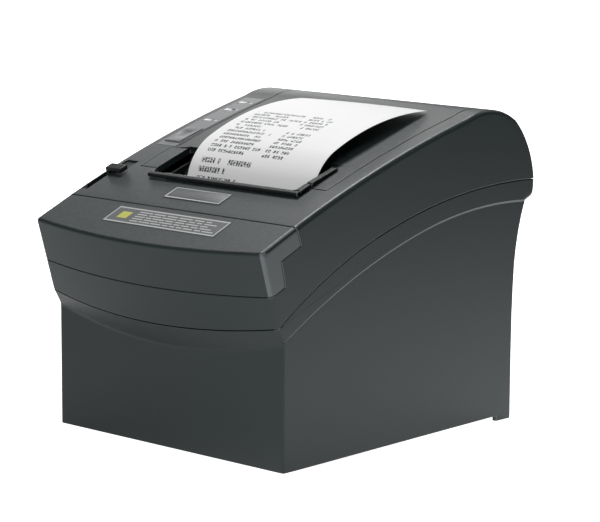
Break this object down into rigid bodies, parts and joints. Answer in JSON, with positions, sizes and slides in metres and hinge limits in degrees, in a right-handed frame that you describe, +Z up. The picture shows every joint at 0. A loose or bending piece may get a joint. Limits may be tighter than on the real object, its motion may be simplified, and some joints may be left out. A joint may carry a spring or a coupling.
{
  "type": "receipt printer",
  "caption": "Desktop thermal receipt printer with a drop-in roll bay, hinged roll cover, sliding nose cover, release lever and a receipt lying over the top.",
  "frame": {"origin": "middle of the footprint, on the surface that the feet stand on", "axes": "+X to the printer's left as seen from behind, so to the right seen from the front; +Y from the front to the rear; +Z up"},
  "size_m": [0.145, 0.19, 0.1474],
  "materials": {
    "charcoal_plastic": "fine moulded texture, charcoal grey",
    "black_plastic": "fine moulded texture, black",
    "grey_overlay": "printed film, mid grey",
    "button_grey": "satin, grey",
    "lens_clear": "translucent",
    "zinc_steel": "zinc plated",
    "blade_steel": "ground",
    "aluminium": "extruded",
    "circuit_board": "solder mask, green",
    "ceramic": "glazed ceramic",
    "platen_rubber": "ground rubber",
    "foot_rubber": "soft rubber",
    "gear_nylon": "natural nylon",
    "thermal_paper": "smooth thermal paper",
    "core_board": "brown card"
  },
  "bodies": {
    "chassis": {"base_housing": "charcoal_plastic", "base_plate": "zinc_steel", "foot_front_left": "foot_rubber", "foot_front_right": "foot_rubber", "foot_rear_left": "foot_rubber", "foot_rear_right": "foot_rubber", "base_screw_1": "zinc_steel", "base_screw_2": "zinc_steel", "base_screw_3": "zinc_steel", "base_screw_4": "zinc_steel", "upper_housing": "charcoal_plastic", "paper_bucket": "black_plastic", "mech_side_left": "zinc_steel", "mech_side_right": "zinc_steel", "mech_cross_bar": "zinc_steel", "head_pivot_pin": "zinc_steel", "head_spring_left": "blade_steel", "head_spring_right": "blade_steel", "tear_bar_holder": "black_plastic", "tear_blade": "blade_steel", "exit_bar": "black_plastic", "led_panel": "grey_overlay", "lamp_lens_1": "lens_clear", "lamp_lens_2": "lens_clear", "lamp_lens_3": "lens_clear", "panel_board": "circuit_board", "main_board": "circuit_board", "rear_panel": "zinc_steel", "power_inlet": "black_plastic", "drawer_port": "black_plastic", "usb_port": "black_plastic", "network_port": "black_plastic", "feed_motor": "zinc_steel", "cutter_motor": "zinc_steel", "hinge_pin_left": "zinc_steel", "hinge_pin_right": "zinc_steel", "lever_shaft": "zinc_steel", "paper_web": "thermal_paper"},
    "roll_cover": {"roll_cover": "charcoal_plastic", "roll_cover_liner": "black_plastic", "exit_rim": "black_plastic", "fixed_blade": "blade_steel", "platen_bush_left": "gear_nylon", "platen_bush_right": "gear_nylon", "receipt_paper": "thermal_paper"},
    "platen": {"platen_rubber": "platen_rubber", "platen_shaft": "zinc_steel", "platen_gear": "gear_nylon"},
    "idler": {"idler_gear": "gear_nylon"},
    "pinion": {"motor_pinion": "gear_nylon"},
    "thermal_head": {"head_heatsink": "aluminium", "head_board": "ceramic"},
    "cutter_blade": {"moving_blade": "blade_steel"},
    "cutter_pinion": {"cutter_gear": "gear_nylon"},
    "front_cover": {"front_cover": "charcoal_plastic"},
    "open_lever": {"open_lever": "black_plastic"},
    "feed_button": {"feed_button": "button_grey"},
    "power_rocker": {"power_rocker": "black_plastic"},
    "paper_roll": {"paper_roll": "thermal_paper", "roll_core": "core_board"}
  },
  "joints": [
    {"name": "roll_cover_hinge", "type": "hinge", "parent": "chassis", "child": "roll_cover", "pos_m": [0, 0.0745, 0.1412], "axis": [-1, 0, 0], "range_deg": [0, 88]},
    {"name": "platen_spin", "type": "hinge", "parent": "roll_cover", "child": "platen", "pos_m": [0.00675, -0.022, 0.096], "axis": [1, 0, 0], "continuous": true},
    {"name": "idler_spin", "type": "hinge", "parent": "chassis", "child": "idler", "pos_m": [-0.04975, -0.016, 0.0823], "axis": [1, 0, 0], "continuous": true},
    {"name": "pinion_spin", "type": "hinge", "parent": "chassis", "child": "pinion", "pos_m": [-0.04975, -0.014, 0.072], "axis": [1, 0, 0], "continuous": true},
    {"name": "head_pivot", "type": "hinge", "parent": "chassis", "child": "thermal_head", "pos_m": [0.004, -0.02793, 0.07486], "axis": [1, 0, 0], "range_deg": [0, 2.5], "stiffness_Nm_per_rad": 1.2, "springref_deg": -2.86},
    {"name": "cutter_slide", "type": "slide", "parent": "chassis", "child": "cutter_blade", "axis": [0, 1, 0], "range_m": [0, 0.007]},
    {"name": "cutter_drive", "type": "hinge", "parent": "chassis", "child": "cutter_pinion", "pos_m": [0.0499, -0.052, 0.1009], "axis": [-1, 0, 0], "range_deg": [0, 98]},
    {"name": "front_cover_slide", "type": "slide", "parent": "chassis", "child": "front_cover", "axis": [0, -0.918, -0.3965], "range_m": [0, 0.022]},
    {"name": "open_lever_hinge", "type": "hinge", "parent": "chassis", "child": "open_lever", "pos_m": [-0.0681, -0.046, 0.092], "axis": [1, 0, 0], "range_deg": [0, 25], "stiffness_Nm_per_rad": 0.02, "springref_deg": -11.46},
    {"name": "feed_button_press", "type": "slide", "parent": "chassis", "child": "feed_button", "axis": [0, 0.3056, -0.9522], "range_m": [0, 0.0008], "stiffness_N_per_m": 400},
    {"name": "power_rocker_tilt", "type": "hinge", "parent": "chassis", "child": "power_rocker", "pos_m": [0.039, 0.0745, 0.0185], "axis": [1, 0, 0], "range_deg": [-12, 12]},
    {"name": "paper_roll_spin", "type": "hinge", "parent": "chassis", "child": "paper_roll", "pos_m": [0.00675, 0.022, 0.062], "axis": [1, 0, 0], "continuous": true}
  ],
  "couplings": [
    {"joint": "idler_spin", "follows": "platen_spin", "ratio": -1.2},
    {"joint": "pinion_spin", "follows": "platen_spin", "ratio": 2.4},
    {"joint": "cutter_drive", "follows": "cutter_slide", "rad_per_m": 243.9}
  ]
}
